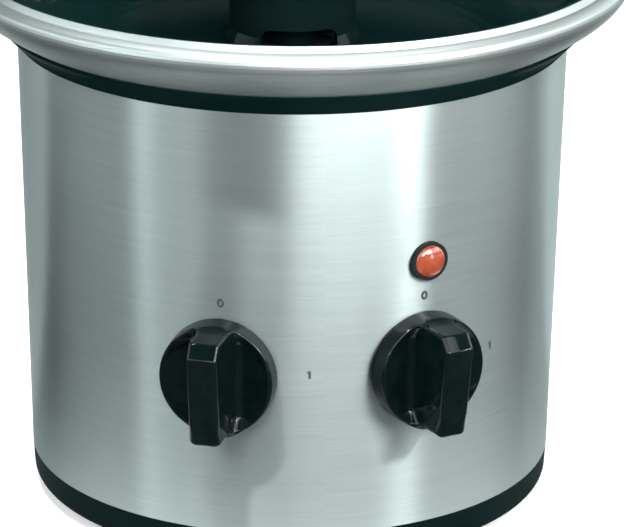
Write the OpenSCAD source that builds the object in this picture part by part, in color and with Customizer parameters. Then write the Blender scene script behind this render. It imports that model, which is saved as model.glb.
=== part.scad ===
// Table-top chocolate fountain: a steel drum with a geared motor and a heater,
// a melting bowl with a rolled rim, and a lift-off tower with an auger.
// +Z is up, the front (knobs) faces -Y, and the origin is under the centre of the feet.

/* [Housing] */
// Outer diameter of the steel housing at its top edge
housing_top_d = 200; // [196:1:212]
// Outer diameter of the steel housing at its lower edge
housing_foot_d = 193.2; // [190:0.4:196]
// Height of the steel housing
housing_h = 157; // [155:1:190]
// Thickness of the sheet steel of the housing and the bowl rim
sheet_t = 0.8; // [0.6:0.1:1.2]
// Height of the black base cover that shows below the steel
base_h = 12; // [11:1:18]
// Thickness of the base cover's floor
base_t = 4; // [3.5:0.5:6]
// Height of the spigot that centres the housing on the base cover
spigot_h = 9; // [6:1:12]
// Height that the rubber feet stand out below the base cover
foot_h = 3; // [2:0.5:6]
// Diameter of a rubber foot
foot_d = 20; // [16:1:24]
// Radius at which the feet stand
foot_ring_r = 76; // [70:1:80]
// Depth of the recess that each foot sits in
foot_seat = 2; // [1:0.5:2.5]

/* [Collar and bowl] */
// Height of the black collar above the housing's edge
collar_h = 8.3; // [7:0.1:12]
// Radial flare of the collar above the housing's edge
collar_flare = 7; // [6:0.5:7.5]
// Thickness of the silicone seal between collar and rim
seal_t = 0.6; // [0.4:0.1:1.5]
// Inner diameter of the bowl rim
bowl_d = 229.4; // [228:0.2:234]
// Height of the bowl rim above its seal
rim_h = 20.1; // [18:0.1:26]
// Depth of the bowl below its rim
bowl_depth = 33; // [30:1:36]
// Thickness of the bowl pan
pan_t = 1.2; // [0.8:0.1:2]
// Radius of the bowl pan's flat floor
pan_floor_r = 66; // [60:1:70]

/* [Heater] */
// Thickness of the heat plate
heat_plate_t = 4; // [3:0.5:6]
// Diameter of the sheathed heating element
element_d = 7; // [5:0.5:8]
// Radius of the element's ring
element_ring_r = 48; // [44:1:50]

/* [Controls] */
// Height of the knob axes above the floor
knob_z = 75.5; // [70:0.5:95]
// Angle from the front to each knob
knob_angle = 21.3; // [19:0.1:26]
// Diameter of a knob's skirt
knob_d = 41.4; // [36:0.2:46]
// Distance from the housing's wall to the pointer end of a knob's bar
knob_depth = 26.4; // [24:0.2:29]
// Distance from the housing's wall to the other end of the bar
knob_toe = 21.5; // [18:0.5:24]
// Width of a knob's grip bar
grip_w = 10; // [9:0.5:13]
// Diameter of the switch shafts
switch_shaft_d = 6; // [5:0.5:6]
// Diameter of a switch body
switch_d = 28; // [22:1:30]
// Height of the indicator lamp above the floor
lamp_z = 115; // [110:1:120]
// Angle from the front to the lamp
lamp_angle = 21.9; // [19:0.1:26]
// Outer diameter of the lamp's bezel
lamp_d = 14; // [12:0.5:16]

/* [Tower] */
// Bore of the tower tube
tower_bore = 36.4; // [34:0.2:38]
// Outer diameter of the tower tube at its foot
tower_d = 46; // [45:0.5:48]
// Height of the tower tube
tower_h = 184; // [170:1:200]
// Height of the arches in the tower's foot
arch_h = 10.5; // [8:0.5:14]
// Height of the large tier's seat above the bowl's floor
large_seat = 80; // [74:1:90]
// Diameter of the large tier
large_tier_d = 132; // [110:1:150]
// Height of the middle tier's seat above the bowl's floor
middle_seat = 134; // [124:1:144]
// Diameter of the middle tier
middle_tier_d = 98; // [80:1:108]
// Thickness of the tiers' walls
tier_t = 1.8; // [1.4:0.1:2.4]
// Outer diameter of the crown's cup
crown_d = 72; // [64:1:84]
// Height of the crown's cup
crown_h = 20; // [16:1:24]

/* [Auger and drive] */
// Pitch of the auger's flight
auger_pitch = 24; // [18:1:30]
// Outer diameter of the auger's core
auger_core_d = 21; // [20.5:0.5:23]
// Diameter of the drive shaft
shaft_d = 8; // [6:0.5:8]
// Width across the flats of the drive dog
dog_af = 11; // [10:0.5:11.5]
// Module of the gears
gear_m = 1; // [1:0.01:1.05]
// Teeth on each pinion
pinion_teeth = 12; // [12:1:13]
// Teeth on each wheel
wheel_teeth = 48; // [47:1:49]
// Width of the gears
gear_w = 5; // [4:0.5:5]
// Outer diameter of the motor can
motor_d = 50; // [46:1:52]
// Height of the motor can
motor_h = 39.5; // [36:0.5:44]

/* [Hidden] */

// Clearances
run_gap = 0.05;      // radial, a shaft in its bush
slip_gap = 0.3;      // between pieces of different bodies
press_gap = 0.02;    // radial, a wheel fixed on its shaft
seat_gap = 0.2;      // between pieces that are fitted together
tooth_gap = 0.1;     // taken off each flank of a gear tooth
cut = 1;             // overshoot of a cut past the face that it opens
$fn = 96;

// Levels, from the floor up
base_z = foot_h;
steel_z0 = base_z + base_h;
steel_z1 = steel_z0 + housing_h;
collar_z1 = steel_z1 + collar_h;
rim_z0 = collar_z1 + seal_t;
rim_z1 = rim_z0 + rim_h;
pan_z = rim_z1 - bowl_depth;
pan_under_z = pan_z - pan_t;
plate_under_z = pan_under_z - heat_plate_t;
strap_t = 1.5;
shelf_z1 = plate_under_z - strap_t;
shelf_t = 3.3;
shelf_z0 = shelf_z1 - shelf_t;

// Radii of the housing
housing_top_r = housing_top_d / 2;
housing_foot_r = housing_foot_d / 2;
function housing_r(z) =
  housing_foot_r + (housing_top_r - housing_foot_r) * (z - steel_z0) / housing_h;

// How far a flat face of a given radius stands off the leaning wall
lean = (housing_top_r - housing_foot_r) / housing_h;
function stand_off(r) = lean * r;

// Points on a cubic curve, and the same curve moved sideways by a distance
curve_steps = 16;
function curve_at(p, t) =
  pow(1 - t, 3) * p[0] + 3 * t * pow(1 - t, 2) * p[1] + 3 * t * t * (1 - t) * p[2] + pow(t, 3) * p[3];
function slope_at(p, t) =
  pow(1 - t, 2) * (p[1] - p[0]) + 2 * t * (1 - t) * (p[2] - p[1]) + t * t * (p[3] - p[2]);
function side_at(p, t, off) =
  let (d = slope_at(p, t) / norm(slope_at(p, t))) curve_at(p, t) + off * [-d.y, d.x];
function curve(p, off = 0, t0 = 0, t1 = 1) =
  [for (i = [0 : curve_steps]) side_at(p, t0 + (t1 - t0) * i / curve_steps, off)];
function flip(list) = [for (i = [len(list) - 1 : -1 : 0]) list[i]];
function arc(c, r, a0, a1, n = 8) =
  [for (i = [0 : n]) c + r * [cos(a0 + (a1 - a0) * i / n), sin(a0 + (a1 - a0) * i / n)]];

// Bowl: the pan's inner face runs from its lip to the edge of its flat floor
bowl_r = bowl_d / 2;
bead_w = 2.75;
bead_h = 2.6;
lip_t = 1.2;
lip_drop = 0.4;
lip_r = bowl_r - seat_gap - lip_t;
lip_flange = 1.6;
pan_curve = [
  [lip_r, rim_z1 - lip_drop],
  [lip_r - 5, pan_z + 18],
  [pan_floor_r + 29, pan_z],
  [pan_floor_r, pan_z]
];

// Rim: a bead and a bulging flange that runs down and back in to the collar
crease_r = bowl_r + bead_w;
crease_z = rim_z1 - 2.1;
rim_foot_r = housing_top_r + collar_flare + 0.3;
rim_foot_in = rim_foot_r - 3.3;
rim_curve = [
  [crease_r, crease_z],
  [crease_r + 7.4, crease_z - 0.35],
  [crease_r + 7.8, rim_z0 + 9.9],
  [rim_foot_r, rim_z0]
];

// Collar
collar_r = housing_top_r + collar_flare;
skirt_gap = 0.3;
skirt_r = housing_r(shelf_z0) - sheet_t - skirt_gap;
shelf_in_r = 74;
collar_pan_gap = 2;
land_w = 3.4;
post_d = 12;
post_ring_r = housing_foot_r - sheet_t - skirt_gap - post_d / 2 - 7.5;
pilot_d = 3.5;
pilot_depth = 25;
pilot_end = 3;         // left free past a screw's tip
screw_sink = 8;
screw_head_r = 3.8;
screw_head_h = 2.6;
screw_slot_w = 0.9;
boss_h = 13;
boss_z1 = base_z + base_t + boss_h;
posts = [45, 135, 225, 315];

// Straps, studs and standoffs share three angles

// Gear frame, from the bottom plate up
gear_plate_t = 2;
wheel_r = gear_m * wheel_teeth / 2;
pinion_r = gear_m * pinion_teeth / 2;
centre_d = wheel_r + pinion_r;
addendum = 0.9 * gear_m;
dedendum = 1.15 * gear_m;
stack_gap = 1.5;
plate_gap = 2 * gear_w + 4 * stack_gap;
top_plate_z = shelf_z0 - 42;
bottom_plate_z = top_plate_z - plate_gap - gear_plate_t;
idler_z = bottom_plate_z + gear_plate_t + stack_gap;
drive_gear_z = idler_z + gear_w + stack_gap;
motor_y = centre_d + 2;
ring_gap = 5;          // from the motor's side to the ring of studs
stud_ring_r = motor_y + motor_d / 2 + ring_gap;
stud_d = 4;
stud_angles = [90, 210, 330];
strap_screw_r = shelf_in_r + 5;
strap_w = 12;
heat_plate_r = stud_ring_r + 6;
idler_at = [sqrt(centre_d * centre_d - motor_y * motor_y / 4), motor_y / 2];
idler_dir = atan2(idler_at.y, idler_at.x);
rotor_dir = atan2(motor_y - idler_at.y, -idler_at.x);
idler_pin_d = 4;

// Motor
can_t = 1.5;
motor_z0 = bottom_plate_z - motor_h;
rotor_d = 4;
bearing_d = 10;
bearing_h = 5;
rotor_core_r = 13.2;
air_gap = 0.8;
motor_screw_y = 17;

// Shaft and hub
hub_r = 7.5;
hub_bore_r = 5;
hub_z0 = pan_under_z - 11;
hub_z1 = pan_z + 13;
hub_flange_r = 14;
hub_flange_t = 1.2;
hub_nut_r = 12;
seal_len = 4;
shaft_r = shaft_d / 2;
dog_h = 14;
dog_z0 = hub_z1 + 1;
dog_z1 = dog_z0 + dog_h;
flats = cos(30);

// Auger
auger_gap = 0.4;
flight_r = tower_bore / 2 - auger_gap;
flight_t = 2.4;
auger_z0 = pan_z + hub_flange_t + 0.8;
flight_z0 = auger_z0 + 1;
bell_gap = 0.7;
auger_tip = 9;

// Tower
bore_r = tower_bore / 2;
tower_r = tower_d / 2;
tower_z1 = pan_z + tower_h;
large_z = pan_z + large_seat;
middle_z = pan_z + middle_seat;
top_wall = 2;
step_w = (tower_r - bore_r - top_wall) / 2;
upper_r = tower_r - 2 * step_w;
mid_r = tower_r - step_w;
arches = 3;
arch_angle = 75;
toe_w = 2;
toe_h = 7;
tier_hub_t = 4;
tier_hub_h = 8;
large_drop = 20;
middle_drop = 16;
pin_d = 3;
pin_h = 4;
foot_angles = [for (i = [0 : arches - 1]) (i + 0.5) * 360 / arches - 90];
pin_ring_r = (bore_r + tower_r) / 2;
sleeve_h = 8;
crown_t = 2;
auger_z1 = tower_z1 + crown_h + 4;

// Controls
nut_af = 14;
nut_t = 2.2;
bush_d = 10;
nut_room = 0.4;
knob_lift = 1;
knob_wall = 2.6;
skirt_h = 6.8;
skirt_draft = 0.3;     // the skirt's radius is this much less at its back
lip_w = 2;
dish_d = 2.6;
dish_side = 4.6;       // run of the dish's sloping side
knob_floor_t = 2;
bar_inset = 1.4;       // pointer end of the bar, inside the skirt's edge
toe_inset = 1.7;       // its other end
bar_chamfer = [5.1, 4]; // at the pointer end's top: along the bar, and off its height
bar_flare = 0.9;       // on each side, from the bar's front to its foot
cove_r = 3;
flat_cut = 1.2;        // depth of the flat on a switch's shaft
lamp_hole_r = lamp_d / 2 - 1.8;
lens_r = lamp_d / 2 - 1.1;
lens_stem_r = lamp_hole_r - 0.8;
bezel_t = 1.6;
bezel_floor = 0.6;
lens_dome = 2.6;
lens_back = 6;

// Cord gland in the back of the housing
gland_z = steel_z0 + 21;
gland_r = 5.5;
gland_flange_r = 8;
gland_flange_t = 2;
gland_bore_r = 3.6;
gland_neck = 7;

// Places a piece on the housing's wall, looking outwards: +Z out, +Y up
module on_wall(angle, z, r) {
  rotate([0, 0, angle]) translate([0, -r, z]) rotate([90, 0, 0]) children();
}
module at_angles(angles, r, z = 0) {
  for (a = angles) rotate([0, 0, a]) translate([r, 0, z]) children();
}
module tube(r_out, r_in, h) {
  difference() {
    cylinder(r = r_out, h = h);
    translate([0, 0, -cut]) cylinder(r = r_in, h = h + 2 * cut);
  }
}
module hex(af, h) { cylinder(r = af / 2 / flats, h = h, $fn = 6); }

module housing_shell() {
  color("lightgray") difference() {
    rotate_extrude() polygon([
      [housing_foot_r - sheet_t, steel_z0], [housing_foot_r, steel_z0],
      [housing_top_r, steel_z1], [housing_top_r - sheet_t, steel_z1]
    ]);
    for (side = [-1, 1])
      on_wall(side * knob_angle, knob_z, switch_wall_r()) translate([0, 0, -cut * 4])
        cylinder(d = bush_d + seat_gap, h = cut * 8);
    on_wall(lamp_angle, lamp_z, housing_r(lamp_z)) translate([0, 0, -cut * 4])
      cylinder(r = lamp_hole_r + seat_gap / 2, h = cut * 8);
    on_wall(180, gland_z, housing_r(gland_z)) translate([0, 0, -cut * 4])
      cylinder(r = gland_r + seat_gap / 2, h = cut * 8);
  }
}

module base_cover() {
  spigot_r = housing_foot_r - sheet_t - skirt_gap;
  wall = 3;
  floor_z = base_z + base_t;
  under_r = housing_foot_r - 0.5;
  round_r = 4;
  vent_w = 3;
  vent_l = 26;
  vent_pitch = 3 * vent_w;
  color("#15191b") difference() {
    union() {
      rotate_extrude() polygon(concat(
        [[0, base_z]],
        arc([under_r - round_r, base_z + round_r], round_r, -90, 0),
        [[housing_foot_r, steel_z0], [spigot_r, steel_z0], [spigot_r, steel_z0 + spigot_h],
         [spigot_r - wall, steel_z0 + spigot_h], [spigot_r - wall, floor_z], [0, floor_z]]
      ));
      at_angles(posts, post_ring_r, base_z + base_t / 2) cylinder(d = post_d + 2, h = base_t / 2 + boss_h);
    }
    at_angles(posts, post_ring_r, base_z) {
      translate([0, 0, -cut]) cylinder(r = screw_head_r + 2 * seat_gap, h = screw_sink + cut);
      cylinder(d = pilot_d + 3 * slip_gap, h = base_t + boss_h + cut);
    }
    at_angles([0, 90, 180, 270], foot_ring_r, base_z - cut)
      cylinder(d = foot_d + seat_gap, h = foot_seat + cut);
    for (i = [-4 : 4])
      translate([i * vent_pitch - vent_w / 2, -vent_l / 2, base_z - cut])
        cube([vent_w, vent_l, base_t + 2 * cut]);
  }
}

module rubber_feet() {
  color("#202020") at_angles([0, 90, 180, 270], foot_ring_r) {
    cylinder(d1 = foot_d - 3, d2 = foot_d, h = foot_h);
    translate([0, 0, foot_h]) cylinder(d = foot_d, h = foot_seat);
  }
}

module base_screws() {
  head_z = base_z + screw_sink;
  color("silver") at_angles(posts, post_ring_r) {
    difference() {
      translate([0, 0, head_z - screw_head_h]) cylinder(r = screw_head_r, h = screw_head_h);
      for (a = [0, 90])
        translate([0, 0, head_z - screw_head_h]) rotate([0, 0, a])
          cube([screw_head_r, screw_slot_w, screw_head_h], center = true);
    }
    translate([0, 0, head_z]) cylinder(d = pilot_d - slip_gap / 3, h = boss_z1 - head_z + pilot_depth - pilot_end);
  }
}

web_w = 7;
strap_hole_r = 1.7;
module top_collar() {
  foot_in = skirt_r - web_w;
  inner = [for (p = curve(pan_curve, pan_t + collar_pan_gap, 0.3, 0.75))
    if (p.y < collar_z1 - 0.5 && p.x > foot_in) p];
  color("#0c1113") difference() {
    union() {
      rotate_extrude() polygon(concat(
        [[collar_r - land_w, collar_z1]],
        [for (p = inner) [min(p.x, collar_r - land_w), p.y]],
        [[foot_in, shelf_z1], [shelf_in_r, shelf_z1], [shelf_in_r, shelf_z0],
         [skirt_r, shelf_z0], [skirt_r, steel_z1], [housing_top_r, steel_z1],
         [collar_r, collar_z1 - 1], [collar_r, collar_z1]]
      ));
      at_angles(posts, post_ring_r, boss_z1) cylinder(d = post_d, h = shelf_z0 + shelf_t / 2 - boss_z1);
    }
    at_angles(posts, post_ring_r, boss_z1 - cut) cylinder(d = pilot_d, h = pilot_depth + cut);
    at_angles(stud_angles, strap_screw_r, shelf_z0 - cut)
      cylinder(r = strap_hole_r, h = shelf_t + 2 * cut);
  }
}

module bowl_seal() {
  color("#303638") translate([0, 0, collar_z1])
    tube(collar_r - 0.4, collar_r - land_w + 0.4, seal_t);
}

module bowl_rim() {
  bead_r = 1.2;
  outer = curve(rim_curve);
  inner = flip(curve(rim_curve, -sheet_t));
  color("silver") rotate_extrude() polygon(concat(
    [[bowl_r, rim_z1 - bead_h]],
    arc([bowl_r + bead_r, rim_z1 - bead_r], bead_r, 180, 80, 6),
    outer,
    [[rim_foot_in, rim_z0], [rim_foot_in, rim_z0 + sheet_t]],
    [for (p = inner) if (p.y > rim_z0 + sheet_t && p.y < rim_z1 - bead_h) p],
    [[crease_r - 0.4, rim_z1 - bead_h]]
  ));
}

module bowl_pan() {
  under = flip(curve(pan_curve, pan_t));
  flange_z = rim_z1 - bead_h;
  color("#0b2a2c") difference() {
    rotate_extrude() polygon(concat(
      [[0, pan_z], [0, pan_under_z]],
      [for (p = under) if (p.y < flange_z - lip_t) p],
      [[lip_r + lip_t, flange_z - lip_t], [lip_r + lip_t + lip_flange, flange_z - lip_t],
       [lip_r + lip_t + lip_flange, flange_z], [lip_r + lip_t, flange_z],
       [lip_r + lip_t, rim_z1 - lip_drop]],
      curve(pan_curve)
    ));
    translate([0, 0, pan_under_z - cut]) cylinder(r = hub_r + seat_gap, h = pan_t + 2 * cut);
  }
}

module bowl_studs() {
  color("silver") at_angles(stud_angles, stud_ring_r, shelf_z0 - 5)
    cylinder(d = stud_d, h = pan_under_z - shelf_z0 + 5);
}

strap_end = 5;         // past the centre of its screw
strap_r0 = max(stud_ring_r - strap_end, element_ring_r + element_d / 2 + 1);
module bowl_straps() {
  color("silver") at_angles(stud_angles, 0, shelf_z1) difference() {
    translate([strap_r0, -strap_w / 2, 0])
      cube([strap_screw_r + strap_end - strap_r0, strap_w, strap_t]);
    translate([stud_ring_r, 0, -cut]) cylinder(d = stud_d + 0.5, h = strap_t + 2 * cut);
    translate([strap_screw_r, 0, -cut]) cylinder(r = 1.55, h = strap_t + 2 * cut);
  }
}

module strap_screws() {
  color("silver") at_angles(stud_angles, strap_screw_r, shelf_z0 - 2) {
    cylinder(r = 3, h = 2);
    translate([0, 0, 2]) cylinder(r = 1.5, h = shelf_t + strap_t);
  }
}

module heat_plate() {
  color("#b9bcbe") difference() {
    translate([0, 0, plate_under_z]) tube(heat_plate_r, hub_nut_r + 6, heat_plate_t);
    at_angles(stud_angles, stud_ring_r, plate_under_z - cut)
      cylinder(d = stud_d + 0.5, h = heat_plate_t + 2 * cut);
  }
}

// The element is an open ring; its two cold pins stand a little inside its ends
element_open = 30;
element_pin = 14;
element_pin_in = 5;
module heater_element() {
  r = element_d / 2;
  drop = r * 0.7;
  color("#8d8f90") translate([0, 0, plate_under_z]) rotate([0, 0, 90 + element_open / 2]) {
    rotate_extrude(angle = 360 - element_open) translate([element_ring_r, -drop]) difference() {
      circle(r = r, $fn = 32);
      translate([-r - cut, drop]) square([2 * (r + cut), 2 * r]);
    }
    for (a = [element_pin_in, -element_open - element_pin_in])
      rotate([0, 0, a]) translate([element_ring_r, 0, -drop - element_pin])
      cylinder(r = 1.8, h = element_pin);
  }
}

sensor_r = 30;         // from the axis to the thermostat and the fuse
module thermostat() {
  color("#c9c2b0") rotate([0, 0, 200]) translate([sensor_r, 0, plate_under_z]) {
    translate([0, 0, -6]) cylinder(r = 8, h = 6);
    for (y = [-4, 4]) translate([-0.4, y - 2, -13]) cube([0.8, 4, 7]);
  }
}

fuse_r = 2.2;
fuse_l = 14;
fuse_lead_l = 31;
fuse_lead_r = 0.6;
module thermal_fuse() {
  fuse_z = -fuse_r - seat_gap / 2;
  color("#d8d2c4") rotate([0, 0, -20]) translate([sensor_r, 0, plate_under_z]) {
    translate([0, fuse_l / 2, fuse_z]) rotate([90, 0, 0]) cylinder(r = fuse_r, h = fuse_l);
    translate([0, fuse_lead_l / 2, fuse_z]) rotate([90, 0, 0]) cylinder(r = fuse_lead_r, h = fuse_lead_l);
  }
}

module drive_hub() {
  color("#1a1d1f") difference() {
    union() {
      translate([0, 0, hub_z0]) cylinder(r = hub_r, h = hub_z1 - hub_z0);
      translate([0, 0, pan_z]) cylinder(r = hub_flange_r, h = hub_flange_t);
    }
    translate([0, 0, hub_z0 - cut]) cylinder(r = hub_bore_r, h = hub_z1 - hub_z0 + 2 * cut);
  }
}

module hub_nut() {
  nut_h = 5;
  color("#c8a24a") translate([0, 0, pan_under_z - nut_h]) difference() {
    hex(2 * hub_nut_r * flats, nut_h);
    translate([0, 0, -cut]) cylinder(r = hub_r + run_gap, h = nut_h + 2 * cut);
  }
}

module shaft_seal() {
  color("#8a2b1c") translate([0, 0, hub_z1 - seal_len])
    tube(hub_bore_r - run_gap, shaft_r + run_gap, seal_len);
}

module hub_bush() {
  color("#b8893a") translate([0, 0, hub_z0])
    tube(hub_bore_r - run_gap, shaft_r + run_gap, hub_z1 - seal_len - hub_z0);
}

module standoffs() {
  h = shelf_z1 - top_plate_z - gear_plate_t;
  color("silver") at_angles(stud_angles, stud_ring_r, top_plate_z + gear_plate_t) difference() {
    hex(8, h);
    translate([0, 0, -cut]) cylinder(d = stud_d + 0.1, h = h + 2 * cut);
  }
}

module plate_screws() {
  head_h = 2.4;
  color("silver") at_angles(stud_angles, stud_ring_r, bottom_plate_z - head_h) {
    cylinder(r = 3.2, h = head_h);
    translate([0, 0, head_h]) cylinder(d = stud_d, h = plate_gap + 2 * gear_plate_t + 8);
  }
}

module gear_plate(z) {
  corner_r = 8;
  translate([0, 0, z]) difference() {
    linear_extrude(height = gear_plate_t) polygon([
      for (a = stud_angles) each arc(stud_ring_r * [cos(a), sin(a)], corner_r, a - 60, a + 60)
    ]);
    at_angles(stud_angles, stud_ring_r, -cut) cylinder(d = stud_d + 0.5, h = gear_plate_t + 2 * cut);
    translate([idler_at.x, idler_at.y, -cut])
      cylinder(d = idler_pin_d + 0.1, h = gear_plate_t + 2 * cut);
    children();
  }
}

module gear_plate_top() {
  color("#a9adb0") gear_plate(top_plate_z)
    translate([0, 0, -cut]) cylinder(r = shaft_r + 1, h = gear_plate_t + 2 * cut);
}

bush_r = 5.5;
module gear_plate_bottom() {
  color("#a9adb0") gear_plate(bottom_plate_z) {
    translate([0, 0, -cut]) cylinder(r = bush_r + run_gap, h = gear_plate_t + 2 * cut);
    translate([0, motor_y, -cut]) cylinder(d = bearing_d + 2, h = gear_plate_t + 2 * cut);
    for (x = [-motor_screw_y, motor_screw_y])
      translate([x, motor_y, -cut]) cylinder(r = 1.7, h = gear_plate_t + 2 * cut);
  }
}

module plate_pillars() {
  color("silver") at_angles(stud_angles, stud_ring_r, bottom_plate_z + gear_plate_t)
    tube(4.5, stud_d / 2 + 0.2, plate_gap);
}

module idler_pin() {
  color("silver") translate([idler_at.x, idler_at.y, bottom_plate_z])
    cylinder(d = idler_pin_d, h = plate_gap + 2 * gear_plate_t);
}

module plate_bush() {
  color("#b8893a") translate([0, 0, bottom_plate_z - 4]) tube(bush_r, shaft_r + run_gap, 4 + gear_plate_t + 1);
}

module motor_can() {
  color("#7d8387") translate([0, motor_y, motor_z0]) difference() {
    cylinder(d = motor_d, h = motor_h);
    translate([0, 0, -cut]) cylinder(d = motor_d - 2 * can_t, h = motor_h - can_t + cut);
    cylinder(d = bearing_d + 0.1, h = motor_h + cut);
    for (x = [-motor_screw_y, motor_screw_y])
      translate([x, 0, motor_h - can_t - cut]) cylinder(r = 1.5, h = can_t + 2 * cut);
  }
}

module motor_end_cap() {
  color("#1c2022") translate([0, motor_y, motor_z0]) {
    tube(motor_d / 2 - can_t - run_gap, bearing_d / 2 + run_gap, 2);
    tube(bearing_d / 2 + 2, bearing_d / 2 + run_gap, bearing_h);
  }
}

module field_coil() {
  color("#b4622f") translate([0, motor_y, motor_z0 + 6])
    tube(motor_d / 2 - can_t - 0.1, rotor_core_r + air_gap, motor_h - can_t - 6);
}

module motor_bearings() {
  color("#b8893a") translate([0, motor_y, 0])
    for (z = [motor_z0, bottom_plate_z - bearing_h + 1])
      translate([0, 0, z]) tube(bearing_d / 2, rotor_d / 2 + run_gap, bearing_h);
}

module motor_screws() {
  color("silver") for (x = [-motor_screw_y, motor_screw_y])
    translate([x, motor_y, bottom_plate_z]) {
      translate([0, 0, gear_plate_t]) cylinder(r = 2.4, h = 1.1);
      translate([0, 0, -can_t]) cylinder(r = 1.45, h = gear_plate_t + can_t);
    }
}

// Depth at which a flat face as wide as the switch clears the curved wall
switch_l = 18;
switch_clear = 1.6;
function switch_wall_r() = housing_r(knob_z);
function switch_face() =
  let (r = min(housing_r(knob_z - switch_d / 2), housing_r(knob_z + switch_d / 2)))
    switch_wall_r() - sqrt(pow(r - sheet_t - switch_clear, 2) - pow(switch_d / 2, 2));
module switch_body() {
  face = switch_face();
  difference() {
    union() {
      translate([0, 0, -face - switch_l]) cylinder(d = switch_d, h = switch_l);
      translate([0, 0, -face]) cylinder(d = bush_d, h = face + nut_t + 0.6);
    }
    translate([0, 0, -face - switch_l + 2])
      cylinder(d = switch_shaft_d + 2 * run_gap, h = face + switch_l + nut_t);
  }
  for (x = [-7, 0, 7]) translate([x - 2, -0.4, -face - switch_l - 7]) cube([4, 0.8, 7]);
}
module motor_switch() { color("#d9d4c8") on_wall(-knob_angle, knob_z, switch_wall_r()) switch_body(); }
module heat_switch() { color("#d9d4c8") on_wall(knob_angle, knob_z, switch_wall_r()) switch_body(); }

module switch_nuts() {
  nut_r = nut_af / 2 / flats;
  color("silver") for (side = [-1, 1])
    on_wall(side * knob_angle, knob_z, switch_wall_r() + stand_off(nut_r)) difference() {
      hex(nut_af, nut_t);
      translate([0, 0, -cut]) cylinder(d = bush_d + 2 * run_gap, h = nut_t + 2 * cut);
    }
}

shaft_end = knob_lift + 15;
module switch_shaft(side) {
  face = switch_face();
  back = face + switch_l - 2 - slip_gap;
  color("#c9ccce") on_wall(side * knob_angle, knob_z, switch_wall_r()) difference() {
    translate([0, 0, -back]) cylinder(d = switch_shaft_d, h = back + shaft_end - 0.3);
    translate([-switch_shaft_d, switch_shaft_d / 2 - flat_cut, nut_t + knob_lift + seat_gap])
      cube([2 * switch_shaft_d, flat_cut + cut, shaft_end]);
  }
}
module motor_switch_shaft() { switch_shaft(-1); }
module heat_switch_shaft() { switch_shaft(1); }

// Knob: a round skirt with a raised lip and a dished face, and a tall grip bar across it.
// Both ends of the bar stand upright; its front slopes down from the pointer end.
module knob_bar(r) {
  tip = knob_depth - knob_lift;
  toe = knob_toe - knob_lift;
  dish_z = skirt_h - dish_d;
  front_w = grip_w / 2;
  foot_w = front_w + bar_flare;
  side = concat(
    [[front_w, tip + cut]],
    arc([foot_w + cove_r, dish_z + cove_r], cove_r, 180, 270),
    [[foot_w + cove_r, 0]]
  );
  intersection() {
    rotate([0, -90, 0]) translate([0, 0, -r]) linear_extrude(height = 2 * r) polygon([
      [0, r - bar_inset], [tip - bar_chamfer.y, r - bar_inset], [tip, r - bar_inset - bar_chamfer.x],
      [toe, toe_inset - r + toe_round], [toe - toe_round, toe_inset - r], [0, toe_inset - r]
    ]);
    rotate([90, 0, 0]) translate([0, 0, -r]) linear_extrude(height = 2 * r)
      polygon(concat(side, [for (p = flip(side)) [-p.x, p.y]]));
    cylinder(r = r - skirt_draft - run_gap, h = tip + cut);
  }
}
toe_round = 1.2;
module knob(side) {
  r = knob_d / 2;
  dish_z = skirt_h - dish_d;
  nut_room_r = nut_af / 2 / flats + 0.6;
  bore_h = shaft_end - knob_lift;
  color("#0b0c0d") on_wall(side * knob_angle, knob_z, switch_wall_r() + knob_lift) difference() {
    union() {
      rotate_extrude() polygon(concat(
        [[0, 0], [r - skirt_draft, 0]],
        arc([r - lip_w / 2, skirt_h - lip_w / 2], lip_w / 2, 0, 150),
        [[r - dish_side, dish_z + 0.4], [r - dish_side - lip_w, dish_z], [0, dish_z]]
      ));
      knob_bar(r);
    }
    translate([0, 0, -cut]) cylinder(r = nut_room_r, h = nut_t + nut_room + cut);
    translate([0, 0, -cut]) tube(r - knob_wall, nut_room_r - cut * 0.1, dish_z - knob_floor_t + cut);
    difference() {
      translate([0, 0, -cut]) cylinder(d = switch_shaft_d + 2 * run_gap, h = bore_h + cut);
      translate([-switch_shaft_d, switch_shaft_d / 2 - flat_cut + run_gap, nut_t + nut_room + seat_gap])
        cube([2 * switch_shaft_d, switch_shaft_d, bore_h]);
    }
  }
}
module motor_knob() { knob(-1); }
module heat_knob() { knob(1); }

// Lamp
function lamp_wall_r() = housing_r(lamp_z) + stand_off(lamp_d / 2);
module lamp_bezel() {
  color("#111416") on_wall(lamp_angle, lamp_z, lamp_wall_r()) {
    tube(lamp_d / 2, lens_r, bezel_t);
    tube(lens_r, lens_stem_r, bezel_floor);
    translate([0, 0, -lens_back]) tube(lamp_hole_r, lens_stem_r, lens_back);
  }
}
module lamp_lens() {
  rim_r = lens_r - run_gap;
  stem_r = lens_stem_r - run_gap;
  color("#d8401c") on_wall(lamp_angle, lamp_z, lamp_wall_r()) rotate_extrude() polygon(concat(
    [[0, -lens_back], [stem_r, -lens_back], [stem_r, bezel_floor], [rim_r, bezel_floor]],
    [for (a = [0 : 10 : 90]) [rim_r * cos(a), bezel_t - 0.4 + lens_dome * sin(a)]]
  ));
}
module lamp_holder() {
  color("#e4e0d6") on_wall(lamp_angle, lamp_z, lamp_wall_r()) {
    translate([0, 0, -lens_back - 16]) cylinder(r = lamp_hole_r, h = 16);
    for (x = [-2, 2]) translate([x, 0, -lens_back - 20]) cylinder(r = 0.6, h = 4);
  }
}

// Terminal block on the base cover's floor, behind the front centre
block = [36, 16, 14];
block_at = [-50, 30, base_z + base_t];
module terminal_block() {
  color("#e9e5da") translate(block_at) difference() {
    cube(block);
    for (i = [0 : 2]) translate([6 + i * 12, block.y / 2, block.z - 5]) cylinder(r = 2.4, h = 5 + cut);
    for (i = [0 : 2]) translate([6 + i * 12, -cut, 5]) rotate([-90, 0, 0])
      cylinder(r = 2, h = block.y + 2 * cut);
  }
}

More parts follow.
